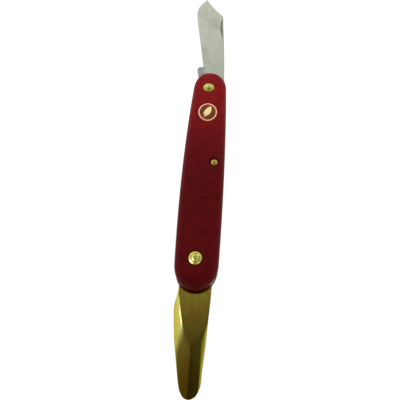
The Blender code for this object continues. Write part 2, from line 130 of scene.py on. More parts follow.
BLADE_PIVOT = Vector((PIVOT_X, PIVOT_Y, 0.0))
BLADE_BACK_X = 6.95
BLADE_SPINE = ((5.05, 48.5), (5.8, 36.4), (6.55, 20.4))
BLADE_CORNER = (4.75, 55.8)
BLADE_TIP = (-4.8, 70.3)
BLADE_CLIP_HOLLOW = 0.56
BLADE_KICK = (
    (-5.2, 9.6),
    (-5.5, 12.2),
    (-6.0, 13.8),
    (-6.22, 15.2),
    (-6.05, 16.4),
    (-5.4, 17.1),
    (-4.5, 17.3),
)
BLADE_EDGE_HEEL = (-3.4, 17.5)
BLADE_EDGE = ((-6.3, 36.1), (-9.0, 53.6), (-9.4, 58.2), (-9.25, 61.0), (-8.6, 63.6), (-7.2, 66.4))
BLADE_FAR_THICKNESS = 1.2
GRIND_START = 19.2
GRIND_DROP = 0.55
GRIND_OFFSET = 0.1
EDGE_THICKNESS = 0.1
EDGE_BEVEL_SLOPE = 0.188
TAPER_END = 34.5
PLUNGE = 1.2
NICK_LOW = (5.15, 38.3)
NICK_HIGH = (4.35, 53.5)
NICK_WIDTH = 1.35
NICK_DEPTH = 0.45
BLADE_EASE = 0.05

LIFTER_PIVOT = Vector((PIVOT_X, -PIVOT_Y, 0.0))
LIFTER_FACE = 5.45
LIFTER_BACK_X = 6.3
LIFTER_BACK = ((6.2, -12.5), (5.78, -18.5), (5.4, -26.5), (4.7, -35.0), (4.5, -38.4))
LIFTER_TIP = ((3.9, -40.2), (2.95, -41.65), (1.3, -42.55), (-0.25, -42.25), (-1.5, -41.05))
LIFTER_EDGE = (
    (-2.5, -38.6),
    (-4.1, -30.8),
    (-5.0, -26.0),
    (-5.8, -19.5),
    (-6.1, -15.4),
    (-5.5, -11.9),
    (-5.1, -9.6),
)
STEP_START = 5.7
STEP_END = 7.2
BEVEL_TOP = (-5.15, -9.4)
BEVEL_SLOPE = 0.2
FACET_CORNER = (-2.65, -22.0)
FACET_BACK = (4.85, -23.7)
RIDGE_START = (0.68, -28.0)
RIDGE_END = (0.64, -41.3)
TIP_THICKNESS = 0.48
TIP_LEAST = 0.12
SLIVER = ((6.0, -19.2), (3.55, -26.0), (3.85, -36.0))
SLIVER_DROP = 0.25
SLIVER_LEAST = 0.1
CREASE_BLEND = 0.07
RIDGE_BLEND = 0.05
FACET_BLEND = 0.12
TONGUE_TOP_Y = -7.75
TONGUE_END_GAP = 0.02
TONGUE_CROWDING = 1.35
TONGUE_EASE = 0.04
TONGUE_EASE_SHARE = 0.6
HEEL_JOIN_Y = -9.2
FACE_OVERLAP = 0.002

# How finely the curves are divided
RING_SIDES = 96
PIN_SIDES = 64
END_STEPS = 28
SIDE_STEPS = 24
RIM_STEPS = 12
CROWN_STEPS = 8
LIP_STEPS = 5
ROSETTE_STEPS = 14
LEAF_STEPS = 12
TANG_STEPS = 16
BLADE_STEPS = 6
EDGE_STEPS = 8
CLIP_STEPS = 14
NICK_STEPS = 24
LIFTER_STEPS = 12
TONGUE_ROWS = 170
TONGUE_COLUMNS = 60


def mesh_piece(name, points, faces):
    """A mesh object from points in millimetres."""
    mesh = bpy.data.meshes.new(name)
    mesh.from_pydata([(x * MM, y * MM, z * MM) for x, y, z in points], [], faces)
    mesh.update()
    piece = bpy.data.objects.new(name, mesh)
    bpy.context.scene.collection.objects.link(piece)
    return piece


def skin(name, rings, looped=False):
    """A closed skin over rings of points, anticlockwise from above and the lowest first.

    A looped skin joins its last ring to its first, as in a collar, and has no caps.
    """
    count = len(rings[0])
    points = [point for ring in rings for point in ring]
    faces = []
    for level in range(len(rings) if looped else len(rings) - 1):
        low = level * count
        high = (level + 1) % len(rings) * count
        for i in range(count):
            j = (i + 1) % count
            faces.append((low + i, low + j, high + j, high + i))
    if not looped:
        faces.append(tuple(reversed(range(count))))
        faces.append(tuple(range(len(points) - count, len(points))))
    return mesh_piece(name, points, faces)


def lift(outline, z):
    """A flat outline as a ring at height z."""
    return [(x, y, z) for x, y in outline]


def moved(outline, pivot):
    """A tool's outline, moved from its pivot's frame to the knife's."""
    return [(x + pivot.x, y + pivot.y) for x, y in outline]


def circle(x, y, radius, z, sides=RING_SIDES):
    """A ring of points round a vertical axis."""
    made = []
    for i in range(sides):
        angle = math.tau * i / sides
        made.append((x + radius * math.cos(angle), y + radius * math.sin(angle), z))
    return made


def oval(inset, z):
    """A ring round the badge, inset from its outline."""
    made = []
    for i in range(RING_SIDES):
        angle = math.tau * i / RING_SIDES
        x = (BADGE_HALF_WIDTH - inset) * math.cos(angle)
        made.append((x, BADGE_Y + (BADGE_HALF_HEIGHT - inset) * math.sin(angle), z))
    return made


def arc(centre, radius, start, end, steps):
    """Points on an arc, with its angles in degrees."""
    points = []
    for i in range(steps + 1):
        angle = math.radians(start + (end - start) * i / steps)
        points.append((centre[0] + radius * math.cos(angle), centre[1] + radius * math.sin(angle)))
    return points


def smooth(points, steps):
    """A curve through the points, which starts at the first and ends at the last."""
    ends = [points[0], *points, points[-1]]
    made = [points[0]]
    for i in range(len(points) - 1):
        before, start, end, after = (Vector(p) for p in ends[i : i + 4])
        for step in range(1, steps + 1):
            t = step / steps
            lead = (end - before) / 2
            leave = (after - start) / 2
            spot = (
                start * (2 * t**3 - 3 * t**2 + 1)
                + lead * (t**3 - 2 * t**2 + t)
                + end * (3 * t**2 - 2 * t**3)
                + leave * (t**3 - t**2)
            )
            made.append(tuple(spot))
    return made


def bowed_line(start, end, bow, steps):
    """Points from start to end, without the ends, that bow to the left of the way by bow."""
    start, end = Vector(start), Vector(end)
    way = end - start
    side = Vector((-way.y, way.x)).normalized()
    made = []
    for i in range(1, steps):
        t = i / steps
        made.append(tuple(start + way * t + side * bow * 4 * t * (1 - t)))
    return made


def half_width(y, widest, barrel):
    """Distance from the centre line to the handle's side at y, without the rounded end."""
    return widest - barrel * (2 * (y - BARREL_Y) / HANDLE_LENGTH) ** 2


def handle_side(widest, barrel, squareness, inset):
    """(distance, y) points along one side of the handle from the -Y end to the +Y end."""
    bend_y = HANDLE_LENGTH / 2 - END_REACH
    power = 2 / squareness

    def end(sign):
        points = []
        for i in range(1, END_STEPS + 1):
            angle = math.radians(90) * i / END_STEPS
            y = sign * (bend_y + (END_REACH - inset) * math.sin(angle) ** power)
            reach = max(math.cos(angle), 0.0) ** power
            points.append(((half_width(y, widest, barrel) - inset) * reach, y))
        return points

    side = []
    for i in range(SIDE_STEPS + 1):
        y = bend_y * (2 * i / SIDE_STEPS - 1)
        side.append((half_width(y, widest, barrel) - inset, y))
    return list(reversed(end(-1))) + side + end(1)


def handle_outline(inset):
    """The handle's outline, anticlockwise from its -Y end."""
    back = handle_side(HALF_WIDTH_BACK, BARREL_BACK, SQUARENESS_BACK, inset)
    mouth = handle_side(HALF_WIDTH_MOUTH, BARREL_MOUTH, SQUARENESS_MOUTH, inset)
    return back + [(-x, y) for x, y in reversed(mouth[1:-1])]


def half_space(name, point, normal, material):
    """A large block whose face passes through point, filling the side that normal points to."""
    solid = bmesh.new()
    bmesh.ops.create_cube(solid, size=FAR * MM)
    bmesh.ops.translate(solid, verts=solid.verts, vec=(0.0, 0.0, FAR / 2 * MM))
    mesh = bpy.data.meshes.new(name)
    solid.to_mesh(mesh)
    solid.free()
    cutter = bpy.data.objects.new(name, mesh)
    bpy.context.scene.collection.objects.link(cutter)
    turn = Vector(normal).to_track_quat("Z", "Y").to_matrix().to_4x4()
    cutter.matrix_world = Matrix.Translation(Vector(point) * MM) @ turn
    mesh.materials.append(material)
    return cutter


def cut(piece, cutter, operation="DIFFERENCE"):
    """Cut one mesh with another, exactly, then drop the cutter."""
    step = piece.modifiers.new("cut", "BOOLEAN")
    step.operation = operation
    step.object = cutter
    step.solver = "EXACT"
    step.material_mode = "TRANSFER"
    settle(piece)
    bpy.data.objects.remove(cutter, do_unlink=True)
    return piece


def settle(piece):
    """Apply a piece's modifiers."""
    bpy.context.view_layer.update()
    graph = bpy.context.evaluated_depsgraph_get()
    mesh = bpy.data.meshes.new_from_object(piece.evaluated_get(graph))
    piece.modifiers.clear()
    piece.data = mesh
    return piece


def eased(piece, width, angle):
    """A modifier that rounds a piece's hard edges."""
    bevel = piece.modifiers.new("eased_edges", "BEVEL")
    bevel.width = width * MM
    bevel.segments = 2
    bevel.limit_method = "ANGLE"
    bevel.angle_limit = math.radians(angle)
    return bevel


def soft_shade(piece, angle):
    """Smooth shading that leaves large faces flat."""
    piece.data.shade_smooth()
    piece.data.set_sharp_from_angle(angle=math.radians(angle))
    normals = piece.modifiers.new("weighted_normals", "WEIGHTED_NORMAL")
    normals.keep_sharp = True
    normals.weight = 70


def fit(piece, body, slot, replaced, *materials):
    """Give a piece any further materials and its body, and hide the nodes that it stands for. The slot
    is not used.
    """
    for material in materials:
        piece.data.materials.append(material)
    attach(piece, body)
    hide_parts(*replaced)
    return piece


# ---------------------------------------------------------------- materials


class Shader:
    """A small helper that builds one node material or world."""

    def __init__(self, tree):
        self.tree = tree
        self.tree.nodes.clear()

    def node(self, kind, values=None, **settings):
        """Add a node, set its properties, and set or link its inputs."""
        made = self.tree.nodes.new(kind)
        for key, value in settings.items():
            setattr(made, key, value)
        for key, value in (values or {}).items():
            if isinstance(value, bpy.types.NodeSocket):
                self.tree.links.new(value, made.inputs[key])
            else:
                made.inputs[key].default_value = value
        return made

    def maths(self, operation, first, second=0.0, clamp=False):
        """One Math node's result."""
        made = self.node("ShaderNodeMath", {0: first, 1: second}, operation=operation)
        made.use_clamp = clamp
        return made.outputs[0]

    def remap(self, value, low, high, to_low=0.0, to_high=1.0):
        """A value taken smoothly from one range to another."""
        made = self.node(
            "ShaderNodeMapRange",
            {"Value": value, "From Min": low, "From Max": high, "To Min": to_low, "To Max": to_high},
            interpolation_type="SMOOTHSTEP",
        )
        return made.outputs["Result"]

    def remap_linear(self, value, low, high):
        """A value taken evenly from low..high to 0..1."""
        values = {"Value": value, "From Min": low, "From Max": high}
        return self.node("ShaderNodeMapRange", values).outputs["Result"]

    def mix(self, factor, first, second):
        """A mix of two colours."""
        made = self.node("ShaderNodeMix", data_type="RGBA")
        for socket, value in ((0, factor), (6, first), (7, second)):
            if isinstance(value, bpy.types.NodeSocket):
                self.tree.links.new(value, made.inputs[socket])
            elif socket:
                made.inputs[socket].default_value = (*value, 1.0)
            else:
                made.inputs[socket].default_value = value
        return made.outputs[2]

    def noise(self, vector, scale, detail, roughness):
        """A noise value with features about 1 / scale millimetres wide."""
        values = {"Vector": vector, "Scale": scale, "Detail": detail, "Roughness": roughness}
        return self.node("ShaderNodeTexNoise", values).outputs["Fac"]

    def stretched(self, vector, stretch):
        """The vector with its axes scaled, for streaks."""
        values = {0: vector, 1: stretch}
        return self.node("ShaderNodeVectorMath", values, operation="MULTIPLY").outputs[0]

    def bump(self, height, strength, distance, under=None):
        """A bump of so many millimetres."""
        values = {"Height": height, "Strength": strength, "Distance": distance * MM}
        if under:
            values["Normal"] = under
        return self.node("ShaderNodeBump", values).outputs["Normal"]


def new_material(name):
    """An empty node material, its helper, and its position in millimetres."""
    material = bpy.data.materials.new(name)
    material.use_nodes = True
    shader = Shader(material.node_tree)
    where = shader.node("ShaderNodeTexCoord").outputs["Object"]
    metres = 1 / MM
    place = shader.stretched(where, (metres, metres, metres))
    return material, shader, place


def finish_material(shader, values):
    """Add the Principled shader and the output."""
    surface = shader.node("ShaderNodeBsdfPrincipled", values)
    shader.node("ShaderNodeOutputMaterial", {"Surface": surface.outputs[0]})


def axis_distance(shader, place, spot):
    """The distance from the vertical axis at a spot."""
    flat = shader.stretched(place, (1.0, 1.0, 0.0))
    values = {0: flat, 1: (*spot, 0.0)}
    return shader.node("ShaderNodeVectorMath", values, operation="DISTANCE").outputs["Value"]


def near_axes(shader, place, spots, inner, outer):
    """1 next to the vertical axes at the spots, 0 beyond outer."""
    found = None
    for spot in spots:
        near = shader.remap(axis_distance(shader, place, spot), inner, outer, 1.0, 0.0)
        found = shader.maths("MAXIMUM", found, near) if found else near
    return found


def nylon_material():
    """Matte moulded red nylon: a fine grain, faint mottling, painted shade round the rivets, painted
    light in the pivot recesses and painted shade at the -Y end.
    """
    material, shader, place = new_material("red_nylon")
    mottle = shader.noise(place, *NYLON_MOTTLE)
    grain = shader.noise(place, *NYLON_GRAIN)
    fine = shader.noise(place, *NYLON_FINE_GRAIN)
    rivet_shade = near_axes(shader, place, RIVET_SPOTS, *RIVET_SHADE_RING)
    lit = near_axes(shader, place, PIVOT_SPOTS, *LIT_RING)
    colour = shader.mix(shader.remap(mottle, 0.3, 0.7), NYLON_DARK, NYLON_LIGHT)
    # Painted shade: the nylon darkens round the rivets' recesses.
    colour = shader.mix(shader.maths("MULTIPLY", rivet_shade, 0.5), colour, NYLON_RIVET_SHADE)
    # Painted light on the walls and floors of the pivot recesses.
    colour = shader.mix(shader.maths("MULTIPLY", lit, 0.85), colour, NYLON_LIT_RECESS)
    split = shader.node("ShaderNodeSeparateXYZ", {"Vector": place})
    # Painted shade: the nylon darkens towards the handle's -Y end.
    end_shade = shader.remap(split.outputs[1], *END_SHADE_SPAN, 0.6, 0.0)
    colour = shader.mix(end_shade, colour, NYLON_END_SHADE)
    rough = shader.remap(grain, 0.3, 0.7, 0.44, 0.56)
    height = shader.maths("ADD", grain, shader.maths("MULTIPLY", fine, 0.5))
    finish_material(
        shader,
        {
            "Base Color": colour,
            "Roughness": rough,
            "Specular IOR Level": NYLON_SPECULAR,
            "Normal": shader.bump(height, 0.35, 0.03),
        },
    )
    return material


def metal_material(name, bright, dull, roughness, streak, patch=0.5, stains_and_shade=()):
    """Ground metal: streaks along one axis, a duller bloom in patches, and small scratches.

    A stain or a patch of painted shade is a soft mark: its colour, its middle, the radius where it
    ends, and its strength.
    """
    material, shader, place = new_material(name)
    long_streaks = shader.noise(shader.stretched(place, streak), *METAL_STREAKS)
    bloom = shader.noise(place, *METAL_BLOOM)
    specks = shader.noise(place, *METAL_SPECKS)
    tone = shader.remap(bloom, 0.35, 0.7, 0.0, patch)
    tone = shader.maths("ADD", tone, shader.remap(long_streaks, 0.3, 0.75, 0.0, 0.35), clamp=True)
    colour = shader.mix(tone, bright, dull)
    for shade, spots, reach, strength in stains_and_shade:
        mark = near_axes(shader, place, spots, 0.0, reach)
        mark = shader.maths("MULTIPLY", mark, shader.remap(bloom, 0.3, 0.7, strength / 2, strength))
        colour = shader.mix(mark, colour, shade)
    rough = shader.maths("ADD", shader.remap(long_streaks, 0.3, 0.7, -0.04, 0.05), roughness)
    rough = shader.maths("ADD", rough, shader.remap(bloom, 0.4, 0.7, 0.0, 0.06))
    height = shader.maths("ADD", long_streaks, shader.maths("MULTIPLY", specks, 0.03))
    finish_material(
        shader,
        {
            "Base Color": colour,
            "Metallic": 1.0,
            "Roughness": rough,
            "Normal": shader.bump(height, 0.12, 0.01),
        },
    )
    return material


def lifter_material():
    """Worn brass: greenish and coppery patches, streaks along the tongue, painted shade darkening the
    tip, and painted shade along the back edge.
    """
    material, shader, place = new_material("lifter_brass")
    streaks = shader.noise(shader.stretched(place, ALONG_STREAK), *LIFTER_STREAKS)
    patches = shader.noise(shader.stretched(place, PATCH_STRETCH), *LIFTER_PATCHES)
    marks = shader.noise(place, *LIFTER_MARKS)
    split = shader.node("ShaderNodeSeparateXYZ", {"Vector": place})
    colour = shader.mix(shader.remap(patches, 0.38, 0.62), LIFTER_GREEN, LIFTER_COPPER)
    colour = shader.mix(shader.remap(streaks, 0.4, 0.75, 0.0, 0.6), colour, LIFTER_DULL)
    colour = shader.mix(shader.remap(marks, 0.45, 0.75, 0.0, 0.35), colour, LIFTER_DULL)
    # Painted shade: the tongue darkens towards its tip.
    tip_shade = shader.remap(split.outputs[1], TIP_SHADE_END, TIP_SHADE_START, 1.0, 0.0)
    tip_shade = shader.maths("MULTIPLY", tip_shade, shader.remap(streaks, 0.3, 0.7, 0.55, 0.95))
    colour = shader.mix(tip_shade, colour, LIFTER_TIP_SHADE)
    # Painted shade along the tongue's back edge, short of the tip.
    lean = shader.maths("MULTIPLY", split.outputs[1], LIFTER_BORDER_LEAN)
    beyond = shader.maths("SUBTRACT", split.outputs[0], lean)
    back_edge_shade = shader.remap(beyond, *LIFTER_BORDER_EDGE)
    back_edge_shade = shader.maths("MULTIPLY", back_edge_shade, shader.remap(split.outputs[1], *LIFTER_BORDER_START))
    colour = shader.mix(back_edge_shade, colour, LIFTER_BORDER)
    rough = shader.remap(streaks, 0.3, 0.75, 0.09, 0.14)
    rough = shader.maths("ADD", rough, shader.remap(marks, 0.4, 0.7, 0.0, 0.04))
    finish_material(
        shader,
        {
            "Base Color": colour,
            "Metallic": 1.0,
            "Roughness": rough,
            "Normal": shader.bump(streaks, 0.05, 0.01),
        },
    )
    return material


def rivet_material():
    """Turned brass: fine rings round the pins' axes, shallow dents and a little tarnish."""
    material, shader, place = new_material("rivet_brass")
    distance = None
    for spot in RIVET_SPOTS:
        found = axis_distance(shader, place, spot)
        distance = shader.maths("MINIMUM", distance, found) if distance else found
    rings = shader.maths("SINE", shader.maths("MULTIPLY", distance, RIVET_RING_RATE))
    tarnish = shader.noise(place, *RIVET_TARNISH)
    dents = shader.noise(place, *RIVET_DENTS)
    colour = shader.mix(shader.remap(tarnish, 0.35, 0.75), RIVET_BRIGHT, RIVET_DULL)
    heads = near_axes(shader, place, PIVOT_SPOTS, *HEAD_RING)
    colour = shader.mix(heads, colour, RIVET_HEAD)
    rough = shader.remap(tarnish, 0.3, 0.7, 0.25, 0.39)
    ringed = shader.bump(rings, 0.08, 0.005)
    finish_material(
        shader,
        {
            "Base Color": colour,
            "Metallic": 1.0,
            "Roughness": rough,
            "Normal": shader.bump(dents, 0.10, 0.04, ringed),
        },
    )
    return material


def paint_material(name, colour, shade, roughness, coat):
    """Enamel on the badge, slightly uneven."""
    material, shader, place = new_material(name)
    uneven = shader.noise(place, *PAINT_UNEVEN)
    tone = shader.mix(shader.remap(uneven, 0.3, 0.7), colour, shade)
    values = {
        "Base Color": tone,
        "Roughness": shader.remap(uneven, 0.3, 0.7, roughness - 0.06, roughness + 0.06),
        "Specular IOR Level": BADGE_SPECULAR,
        "Coat Weight": coat,
        "Normal": shader.bump(uneven, 0.25, 0.03),
    }
    finish_material(shader, values)
    return material


def floor_material():
    """A white table that is lit so evenly that it stays white."""
    material, shader, place = new_material("white_table")
    grain = shader.noise(place, *TABLE_GRAIN)
    finish_material(
        shader,
        {
            "Base Color": shader.mix(grain, TABLE_LIGHT, TABLE_DARK),
            "Roughness": 0.9,
            "Specular IOR Level": 0.2,
            "Emission Color": (*WHITE, 1.0),
            "Emission Strength": FLOOR_GLOW,
        },
    )
    return material


# Colours, and the noises' scale, detail and roughness
WHITE = (1.0, 1.0, 1.0)
COOL = (0.34, 0.38, 1.0)
NYLON_DARK = (0.112, 0.0018, 0.0032)
NYLON_LIGHT = (0.150, 0.0028, 0.0044)
# Painted shade round the rivets' recesses
NYLON_RIVET_SHADE = (0.085, 0.005, 0.0003)
# Painted light in the pivot recesses
NYLON_LIT_RECESS = (0.19, 0.045, 0.0008)
# Painted shade at the handle's -Y end
NYLON_END_SHADE = (0.048, 0.0006, 0.0010)
NYLON_SPECULAR = 0.08
NYLON_MOTTLE = (0.35, 4.0, 0.6)
NYLON_GRAIN = (3.2, 3.0, 0.6)
NYLON_FINE_GRAIN = (9.0, 2.0, 0.5)
STEEL_BRIGHT = (0.63, 0.635, 0.55)
STEEL_DULL = (0.54, 0.55, 0.465)
TANG_BRIGHT = (0.61, 0.64, 0.555)
TANG_DULL = (0.51, 0.54, 0.465)
STEEL_SMUDGE = (0.50, 0.51, 0.42)
# Painted shade over the kick
KICK_SHADE = (0.40, 0.42, 0.41)
NICK_BRIGHT = (0.36, 0.36, 0.30)
NICK_DULL = (0.28, 0.28, 0.23)
SPRING_BRIGHT = (0.52, 0.52, 0.50)
SPRING_DULL = (0.36, 0.36, 0.34)
METAL_STREAKS = (1.0, 3.0, 0.6)
METAL_BLOOM = (0.22, 4.0, 0.6)
METAL_SPECKS = (6.0, 2.0, 0.5)
LIFTER_GREEN = (0.68, 0.68, 0.12)
LIFTER_COPPER = (0.72, 0.54, 0.08)
LIFTER_DULL = (0.52, 0.44, 0.065)
# Painted shade towards the lifter's tip
LIFTER_TIP_SHADE = (0.42, 0.25, 0.018)
# Painted shade along the lifter's back edge
LIFTER_BORDER = (0.26, 0.27, 0.06)
TIP_SHADE_START = -66.0
TIP_SHADE_END = -80.0
LIFTER_BORDER_LEAN = 0.0656
LIFTER_BORDER_EDGE = (8.75, 9.1)
LIFTER_BORDER_START = (-64.0, -60.0)
LIFTER_STREAKS = (1.0, 4.0, 0.65)
LIFTER_PATCHES = (0.34, 3.0, 0.55)
LIFTER_MARKS = (1.3, 3.0, 0.6)
RIVET_BRIGHT = (0.68, 0.53, 0.15)
RIVET_DULL = (0.50, 0.35, 0.085)
RIVET_HEAD = (0.72, 0.79, 0.18)
RIVET_TARNISH = (1.1, 4.0, 0.6)
RIVET_DENTS = (2.4, 2.0, 0.5)
RIVET_RING_RATE = 42.0
LINER_BRIGHT = (0.42, 0.31, 0.12)
LINER_DULL = (0.24, 0.16, 0.06)
# Painted shade on the liners at the handle's -Y end
LINER_END_SHADE = (0.24, 0.085, 0.02)
BADGE_RIM = (0.80, 0.42, 0.33)
BADGE_RIM_SHADE = (0.72, 0.36, 0.27)
BADGE_SPECULAR = 0.12
BADGE_FIELD = (0.135, 0.042, 0.007)
BADGE_FIELD_SHADE = (0.085, 0.024, 0.004)
BADGE_LEAF = (0.74, 0.58, 0.34)
BADGE_LEAF_SHADE = (0.62, 0.46, 0.23)
PAINT_UNEVEN = (1.6, 3.0, 0.55)
TABLE_LIGHT = (0.13, 0.13, 0.13)
TABLE_DARK = (0.11, 0.11, 0.11)
TABLE_GRAIN = (0.8, 2.0, 0.5)
FLOOR_GLOW = 0.96

# Stretches of the streaks, and where marks begin and end, in millimetres
ALONG_STREAK = (1.6, 0.06, 1.6)
ACROSS_STREAK = (0.1, 2.0, 2.0)
PATCH_STRETCH = (1.0, 0.6, 1.0)
# Radii of the painted shade round the rivets and of the painted light in the pivot recesses
RIVET_SHADE_RING = (2.7, 3.4)
LIT_RING = (2.75, 3.05)
HEAD_RING = (1.0, 1.7)
# Where the painted shade at the handle's -Y end runs
END_SHADE_SPAN = (-49.5, -43.5)

nylon = nylon_material()
smudge = (STEEL_SMUDGE, ((0.3, 92.0), (0.9, 87.5)), 5.0, 1.1)
worn_edge = (STEEL_SMUDGE, ((-3.4, 61.0), (-3.9, 65.0), (-4.4, 69.0)), 4.4, 1.2)
ground_steel = metal_material(
    "ground_steel", STEEL_BRIGHT, STEEL_DULL, 0.30, ALONG_STREAK, 0.5, stains_and_shade=[smudge, worn_edge]
)
# Painted shade: the tang steel darkens over the kick.
kick_painted_shade = (KICK_SHADE, ((-5.8, 55.2), (-5.4, 53.0), (-5.2, 50.8)), 4.6, 1.7)
tang_steel = metal_material(
    "tang_steel", TANG_BRIGHT, TANG_DULL, 0.34, ALONG_STREAK, 0.3, stains_and_shade=[kick_painted_shade]
)
nick_steel = metal_material("nick_steel", NICK_BRIGHT, NICK_DULL, 0.45, ACROSS_STREAK, 0.5)
spring_steel = metal_material("spring_steel", SPRING_BRIGHT, SPRING_DULL, 0.36, ALONG_STREAK)
lifter_brass = lifter_material()
# Painted shade: the liners darken towards the handle's -Y end.
liner_end_painted_shade = (LINER_END_SHADE, ((PIVOT_X, -52.0),), 12.0, 3.0)
liner_brass = metal_material(
    "liner_brass", LINER_BRIGHT, LINER_DULL, 0.35, ALONG_STREAK, stains_and_shade=[liner_end_painted_shade]
)
rivet_brass = rivet_material()
badge_rim = paint_material("badge_rim", BADGE_RIM, BADGE_RIM_SHADE, 0.4, 0.05)
badge_field = paint_material("badge_field", BADGE_FIELD, BADGE_FIELD_SHADE, 0.35, 0.02)
badge_leaf = paint_material("badge_leaf", BADGE_LEAF, BADGE_LEAF_SHADE, 0.4, 0.05)


# ---------------------------------------------------------------- the handle


def scale_rings():
    """The front scale's rings: wall, rounded rim, and a slightly crowned face."""
    low = HANDLE_THICKNESS - SCALE_THICKNESS
    slope = math.atan(2 * CROWN / (CROWN_REACH - RIM_RADIUS))
    rim_z = HANDLE_THICKNESS - CROWN - RIM_RADIUS * math.cos(slope)
    rings = [lift(handle_outline(inset), low + rise) for inset, rise in SCALE_FOOT]
    for i in range(RIM_STEPS + 1):
        angle = (math.radians(90) - slope) * i / RIM_STEPS
        inset = RIM_RADIUS * (1 - math.cos(angle))
        rings.append(lift(handle_outline(inset), rim_z + RIM_RADIUS * math.sin(angle)))
    start = RIM_RADIUS * (1 - math.sin(slope))
    for i in range(1, CROWN_STEPS + 1):
        share = i / CROWN_STEPS
        inset = start + (CROWN_REACH - start) * share
        z = HANDLE_THICKNESS - CROWN * (1 - share) ** 2
        rings.append(lift(handle_outline(inset), z))
    return rings


def recess_cutter(x, y, radius, depth):
    """The cutter of a round recess in a scale's outer face, with a softened lip."""
    floor = HANDLE_THICKNESS - depth
    lip_z = HANDLE_THICKNESS - LIP_DROP - LIP
    rings = [circle(x, y, radius - RECESS_FOOT, floor), circle(x, y, radius, floor + RECESS_FOOT)]
    for i in range(LIP_STEPS + 1):
        angle = math.radians(90) * i / LIP_STEPS
        spread = LIP * (1 - math.cos(angle))
        rings.append(circle(x, y, radius + spread, lip_z + LIP * math.sin(angle)))
    rings.append(circle(x, y, radius + LIP, ABOVE))
    return skin("recess_cutter", rings)


def bore_cutter(x, y, top, sides=RING_SIDES):
    """The cutter of a bore from the bench up to top."""
    return skin("bore_cutter", [circle(x, y, BORE_RADIUS, z, sides) for z in (0.0, top)])


def make_scale(name, front):
    """A moulded nylon scale with its recesses and bores. The back one is turned over at the end."""
    piece = skin(name, scale_rings())
    piece.data.materials.append(nylon)
    depth = FRONT_RECESS_DEPTH if front else BACK_RECESS_DEPTH
    for x, y in PIVOT_SPOTS:
        cut(piece, recess_cutter(x, y, RECESS_RADIUS, depth))
    x, y = RIVET_SPOTS[-1]
    cut(piece, recess_cutter(x, y, SPRING_PIN_RECESS_RADIUS, SPRING_PIN_RECESS_DEPTH))
    for x, y in RIVET_SPOTS:
        cut(piece, bore_cutter(x, y, ABOVE))
    if front:
        rings = [oval(-BADGE_GAP, HANDLE_THICKNESS - BADGE_DEPTH)]
        for spread, drop in POCKET_LIP:
            rings.append(oval(-BADGE_GAP - spread, HANDLE_THICKNESS - drop))
        rings.append(oval(-BADGE_GAP - POCKET_LIP[-1][0], ABOVE))
        cut(piece, skin("pocket_cutter", rings))
    else:
        for vertex in piece.data.vertices:
            vertex.co.z = HANDLE_THICKNESS * MM - vertex.co.z
        piece.data.flip_normals()
    soft_shade(piece, 45)
    node = "front_scale" if front else "back_scale"
    return fit(piece, "handle", "red_nylon", [node])


def make_pin(name, node, x, y, ends):
    """A pin with hammered heads."""
    low, high = ends
    rings = [circle(x, y, radius, low + drop, PIN_SIDES) for radius, drop in PIN_HEAD]
    rings += [circle(x, y, radius, high - drop, PIN_SIDES) for radius, drop in reversed(PIN_HEAD)]
    piece = skin(name, rings)
    soft_shade(piece, 60)
    return fit(piece, "handle", "rivet_brass", [node], rivet_brass)


def make_rosette(name, node, y, front):
    """The domed collar round a pivot pin's head."""
    profile = [(ROSETTE_BORE, 0.0), (ROSETTE_RADIUS - ROSETTE_EASE, 0.0)]
    profile.append((ROSETTE_RADIUS, ROSETTE_EASE))
    reach = ROSETTE_RADIUS - ROSETTE_BORE - ROSETTE_LIP
    for i in range(ROSETTE_STEPS + 1):
        radius = ROSETTE_RADIUS - reach * (i / ROSETTE_STEPS) ** ROSETTE_CROWDING
        height = ROSETTE_DOME * math.sqrt(max(1 - (radius / ROSETTE_RADIUS) ** 2, 0.0))
        profile.append((radius, ROSETTE_WALL + height))
    top = profile[-1][1]
    profile += [(ROSETTE_BORE + out, top - drop) for out, drop in ROSETTE_MOUTH]
    if front:
        floor = HANDLE_THICKNESS - FRONT_RECESS_DEPTH + SEAT
        rings = [circle(PIVOT_X, y, radius, floor + height) for radius, height in profile]
    else:
        floor = BACK_RECESS_DEPTH - SEAT
        rings = [
            circle(PIVOT_X, y, radius, floor - height * BACK_DOME_SHARE)
            for radius, height in reversed(profile)
        ]
    piece = skin(name, rings, looped=True)
    soft_shade(piece, 50)
    return fit(piece, "handle", "rivet_brass", [node], rivet_brass)


def leaf_rings(root, tip, width, low, high):
    """A pointed leaf from root to tip, crowned along its middle."""
    way = tip - root
    side = Vector((-way.y, way.x)).normalized()
    outline = []
    for i in range(2 * LEAF_STEPS):
        share = i / LEAF_STEPS if i < LEAF_STEPS else 2 - i / LEAF_STEPS
        reach = math.sin(math.pi * share**0.8) ** 0.9 * width
        sign = -1 if i < LEAF_STEPS else 1
        outline.append((root + way * share, side * reach * sign))
    rings = []
    for spread, z in ((1.0, low), (1.0, (low + high) / 2), (0.8, high - LEAF_EDGE), (0.25, high)):
        ring = []
        for middle, out in outline:
            spot = middle + out * spread
            ring.append((spot.x, spot.y, z))
        rings.append(ring)
    return rings


def joined(name, pieces):
    """One object from several, each with its own material."""
    solid = bmesh.new()
    made = bpy.data.meshes.new(name)
    for number, (piece, material) in enumerate(pieces):
        made.materials.append(material)
        start = len(solid.faces)
        solid.from_mesh(piece.data)
        solid.faces.ensure_lookup_table()
        for face in solid.faces[start:]:
            face.material_index = number
        bpy.data.objects.remove(piece, do_unlink=True)
    solid.to_mesh(made)
    solid.free()
    whole = bpy.data.objects.new(name, made)
    bpy.context.scene.collection.objects.link(whole)
    return whole


